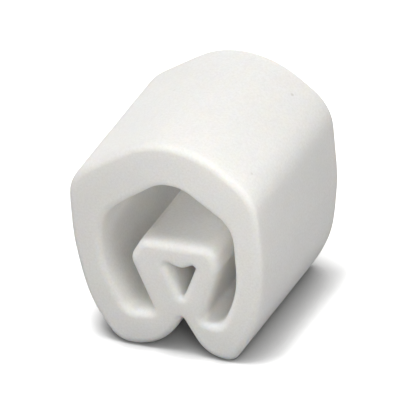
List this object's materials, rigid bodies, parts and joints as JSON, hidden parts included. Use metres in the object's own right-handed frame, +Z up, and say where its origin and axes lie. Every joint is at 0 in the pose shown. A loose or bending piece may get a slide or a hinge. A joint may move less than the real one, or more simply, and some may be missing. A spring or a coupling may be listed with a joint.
{
  "type": "cable marker",
  "caption": "Slide-on cable marker: a short sleeve of soft white PVC with a domed marking face, rounded lobes and a folded inner spring tongue that grips the conductor passing through it.",
  "frame": {"origin": "middle of the sleeve's underside, on the surface that its two lobes rest on", "axes": "+Z up from the lobes to the crown, +Y along the cable towards the rear end, +X across the sleeve"},
  "size_m": [0.0044, 0.004, 0.0052],
  "materials": {
    "soft_pvc": "satin, as cut from an extruded length"
  },
  "bodies": {
    "root": {"marker_sleeve": "soft_pvc"}
  },
  "joints": []
}
